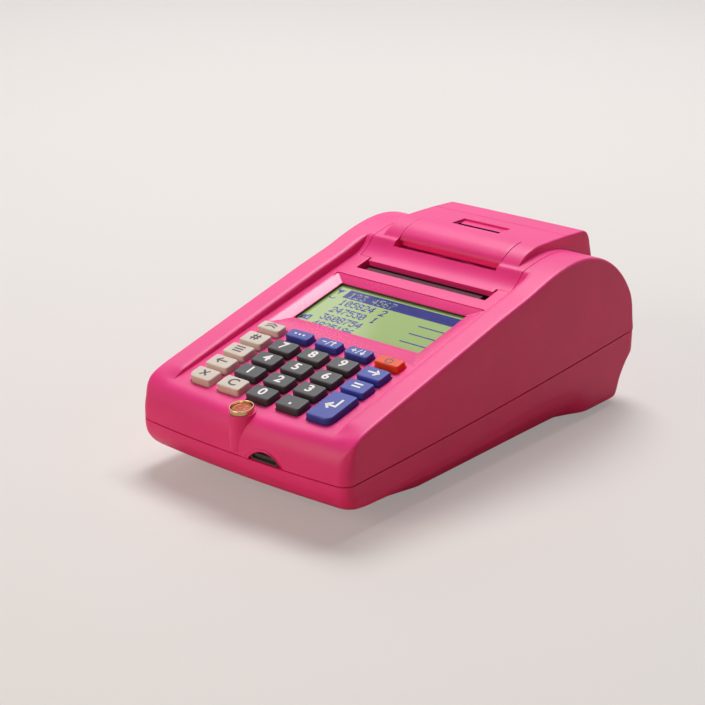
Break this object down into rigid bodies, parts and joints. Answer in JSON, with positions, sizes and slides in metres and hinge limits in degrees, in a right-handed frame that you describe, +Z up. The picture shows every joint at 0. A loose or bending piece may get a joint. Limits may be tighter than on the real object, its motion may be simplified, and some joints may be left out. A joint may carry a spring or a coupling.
{
  "type": "ticket register",
  "caption": "Portable wedge-shaped ticket register with a keypad, a sunk display, and a ticket printer under a hinged rear cover.",
  "frame": {"origin": "middle of the bounding box on the plane of the rubber feet", "axes": "+X to the right across the keypad, +Y from the keypad end towards the printer end, +Z up from the table"},
  "size_m": [0.105, 0.1914, 0.0741],
  "materials": {
    "shell_pink": "fine satin",
    "key_grey": "satin",
    "key_cream": "satin",
    "key_blue": "satin",
    "key_orange": "satin",
    "window_smoke": "gloss",
    "display_grey": "matte",
    "steel": "brushed",
    "lens_green": "gloss",
    "mat_grey": "matte",
    "board_green": "satin",
    "cup_brass": "satin",
    "seal_red": "waxy",
    "tear_steel": "satin",
    "roller_rubber": "matte",
    "gear_white": "satin",
    "inner_black": "matte",
    "brass_pinion": "machined",
    "head_black": "satin",
    "battery_wrap": "satin",
    "foot_rubber": "matte"
  },
  "bodies": {
    "body": {"base_shell": "shell_pink", "top_shell": "shell_pink", "hinge_pins": "steel", "lens": "lens_green", "lcd_module": "display_grey", "key_mat": "mat_grey", "key_board": "board_green", "seal_cup": "cup_brass", "seal": "seal_red", "port_board": "board_green", "usb_socket": "steel", "tear_bar": "tear_steel", "feed_motor": "steel", "head_spring": "steel", "printer_frame": "steel", "paper_well": "inner_black", "main_board": "board_green", "fiscal_module": "inner_black", "buzzer": "inner_black", "battery_pack": "battery_wrap", "battery_door": "shell_pink", "door_screw": "steel", "case_screws": "steel", "feet": "foot_rubber"},
    "cover": {"cover": "shell_pink", "customer_window": "window_smoke", "customer_display": "display_grey", "platen_bushes": "inner_black"},
    "flap": {"hood_flap": "shell_pink"},
    "platen": {"platen_roller": "roller_rubber", "platen_shaft": "steel", "platen_gear": "gear_white"},
    "idler": {"idler_gear": "gear_white"},
    "pinion": {"motor_pinion": "brass_pinion"},
    "head": {"print_head": "head_black"},
    "key_feed": {"key_feed": "key_cream"},
    "key_function": {"key_function": "key_blue"},
    "key_minus": {"key_minus": "key_blue"},
    "key_plus": {"key_plus": "key_blue"},
    "key_power": {"key_power": "key_orange"},
    "key_item": {"key_item": "key_cream"},
    "key_7": {"key_7": "key_grey"},
    "key_8": {"key_8": "key_grey"},
    "key_9": {"key_9": "key_grey"},
    "key_payment": {"key_payment": "key_blue"},
    "key_department": {"key_department": "key_cream"},
    "key_4": {"key_4": "key_grey"},
    "key_5": {"key_5": "key_grey"},
    "key_6": {"key_6": "key_grey"},
    "key_subtotal": {"key_subtotal": "key_blue"},
    "key_void": {"key_void": "key_cream"},
    "key_1": {"key_1": "key_grey"},
    "key_2": {"key_2": "key_grey"},
    "key_3": {"key_3": "key_grey"},
    "key_quantity": {"key_quantity": "key_cream"},
    "key_clear": {"key_clear": "key_cream"},
    "key_0": {"key_0": "key_grey"},
    "key_point": {"key_point": "key_grey"},
    "key_total": {"key_total": "key_blue"}
  },
  "joints": [
    {"name": "cover_hinge", "type": "hinge", "parent": "body", "child": "cover", "pos_m": [0, 0.08444, 0.04898], "axis": [-1, 0, 0], "range_deg": [0, 80]},
    {"name": "flap_hinge", "type": "hinge", "parent": "cover", "child": "flap", "pos_m": [0, 0.0466, 0.0741], "axis": [-1, 0, 0], "range_deg": [0, 15], "stiffness_Nm_per_rad": 0.02},
    {"name": "platen_spin", "type": "hinge", "parent": "cover", "child": "platen", "pos_m": [0, 0.0265, 0.0548], "axis": [1, 0, 0], "continuous": true},
    {"name": "idler_spin", "type": "hinge", "parent": "body", "child": "idler", "pos_m": [0.034, 0.02442, 0.04298], "axis": [1, 0, 0], "continuous": true},
    {"name": "pinion_spin", "type": "hinge", "parent": "body", "child": "pinion", "pos_m": [0.034, 0.01532, 0.03773], "axis": [1, 0, 0], "continuous": true},
    {"name": "head_pivot", "type": "hinge", "parent": "body", "child": "head", "pos_m": [0, 0.0212, 0.0473], "axis": [1, 0, 0], "range_deg": [0, 4], "stiffness_Nm_per_rad": 0.1, "springref_deg": -5.73},
    {"name": "key_feed_press", "type": "slide", "parent": "body", "child": "key_feed", "axis": [0, 0.2289, -0.9735], "range_m": [0, 0.0012], "stiffness_N_per_m": 300, "springref_m": -0.0004},
    {"name": "key_function_press", "type": "slide", "parent": "body", "child": "key_function", "axis": [0, 0.2289, -0.9735], "range_m": [0, 0.0012], "stiffness_N_per_m": 300, "springref_m": -0.0004},
    {"name": "key_minus_press", "type": "slide", "parent": "body", "child": "key_minus", "axis": [0, 0.2289, -0.9735], "range_m": [0, 0.0012], "stiffness_N_per_m": 300, "springref_m": -0.0004},
    {"name": "key_plus_press", "type": "slide", "parent": "body", "child": "key_plus", "axis": [0, 0.2289, -0.9735], "range_m": [0, 0.0012], "stiffness_N_per_m": 300, "springref_m": -0.0004},
    {"name": "key_power_press", "type": "slide", "parent": "body", "child": "key_power", "axis": [0, 0.2289, -0.9735], "range_m": [0, 0.0012], "stiffness_N_per_m": 300, "springref_m": -0.0004},
    {"name": "key_item_press", "type": "slide", "parent": "body", "child": "key_item", "axis": [0, 0.2289, -0.9735], "range_m": [0, 0.0012], "stiffness_N_per_m": 300, "springref_m": -0.0004},
    {"name": "key_7_press", "type": "slide", "parent": "body", "child": "key_7", "axis": [0, 0.2289, -0.9735], "range_m": [0, 0.0012], "stiffness_N_per_m": 300, "springref_m": -0.0004},
    {"name": "key_8_press", "type": "slide", "parent": "body", "child": "key_8", "axis": [0, 0.2289, -0.9735], "range_m": [0, 0.0012], "stiffness_N_per_m": 300, "springref_m": -0.0004},
    {"name": "key_9_press", "type": "slide", "parent": "body", "child": "key_9", "axis": [0, 0.2289, -0.9735], "range_m": [0, 0.0012], "stiffness_N_per_m": 300, "springref_m": -0.0004},
    {"name": "key_payment_press", "type": "slide", "parent": "body", "child": "key_payment", "axis": [0, 0.2289, -0.9735], "range_m": [0, 0.0012], "stiffness_N_per_m": 300, "springref_m": -0.0004},
    {"name": "key_department_press", "type": "slide", "parent": "body", "child": "key_department", "axis": [0, 0.2289, -0.9735], "range_m": [0, 0.0012], "stiffness_N_per_m": 300, "springref_m": -0.0004},
    {"name": "key_4_press", "type": "slide", "parent": "body", "child": "key_4", "axis": [0, 0.2289, -0.9735], "range_m": [0, 0.0012], "stiffness_N_per_m": 300, "springref_m": -0.0004},
    {"name": "key_5_press", "type": "slide", "parent": "body", "child": "key_5", "axis": [0, 0.2289, -0.9735], "range_m": [0, 0.0012], "stiffness_N_per_m": 300, "springref_m": -0.0004},
    {"name": "key_6_press", "type": "slide", "parent": "body", "child": "key_6", "axis": [0, 0.2289, -0.9735], "range_m": [0, 0.0012], "stiffness_N_per_m": 300, "springref_m": -0.0004},
    {"name": "key_subtotal_press", "type": "slide", "parent": "body", "child": "key_subtotal", "axis": [0, 0.2289, -0.9735], "range_m": [0, 0.0012], "stiffness_N_per_m": 300, "springref_m": -0.0004},
    {"name": "key_void_press", "type": "slide", "parent": "body", "child": "key_void", "axis": [0, 0.2289, -0.9735], "range_m": [0, 0.0012], "stiffness_N_per_m": 300, "springref_m": -0.0004},
    {"name": "key_1_press", "type": "slide", "parent": "body", "child": "key_1", "axis": [0, 0.2289, -0.9735], "range_m": [0, 0.0012], "stiffness_N_per_m": 300, "springref_m": -0.0004},
    {"name": "key_2_press", "type": "slide", "parent": "body", "child": "key_2", "axis": [0, 0.2289, -0.9735], "range_m": [0, 0.0012], "stiffness_N_per_m": 300, "springref_m": -0.0004},
    {"name": "key_3_press", "type": "slide", "parent": "body", "child": "key_3", "axis": [0, 0.2289, -0.9735], "range_m": [0, 0.0012], "stiffness_N_per_m": 300, "springref_m": -0.0004},
    {"name": "key_quantity_press", "type": "slide", "parent": "body", "child": "key_quantity", "axis": [0, 0.2289, -0.9735], "range_m": [0, 0.0012], "stiffness_N_per_m": 300, "springref_m": -0.0004},
    {"name": "key_clear_press", "type": "slide", "parent": "body", "child": "key_clear", "axis": [0, 0.2289, -0.9735], "range_m": [0, 0.0012], "stiffness_N_per_m": 300, "springref_m": -0.0004},
    {"name": "key_0_press", "type": "slide", "parent": "body", "child": "key_0", "axis": [0, 0.2289, -0.9735], "range_m": [0, 0.0012], "stiffness_N_per_m": 300, "springref_m": -0.0004},
    {"name": "key_point_press", "type": "slide", "parent": "body", "child": "key_point", "axis": [0, 0.2289, -0.9735], "range_m": [0, 0.0012], "stiffness_N_per_m": 300, "springref_m": -0.0004},
    {"name": "key_total_press", "type": "slide", "parent": "body", "child": "key_total", "axis": [0, 0.2289, -0.9735], "range_m": [0, 0.0012], "stiffness_N_per_m": 300, "springref_m": -0.0004}
  ],
  "couplings": [
    {"joint": "idler_spin", "follows": "platen_spin", "ratio": -0.6},
    {"joint": "pinion_spin", "follows": "platen_spin", "ratio": 1.5}
  ]
}
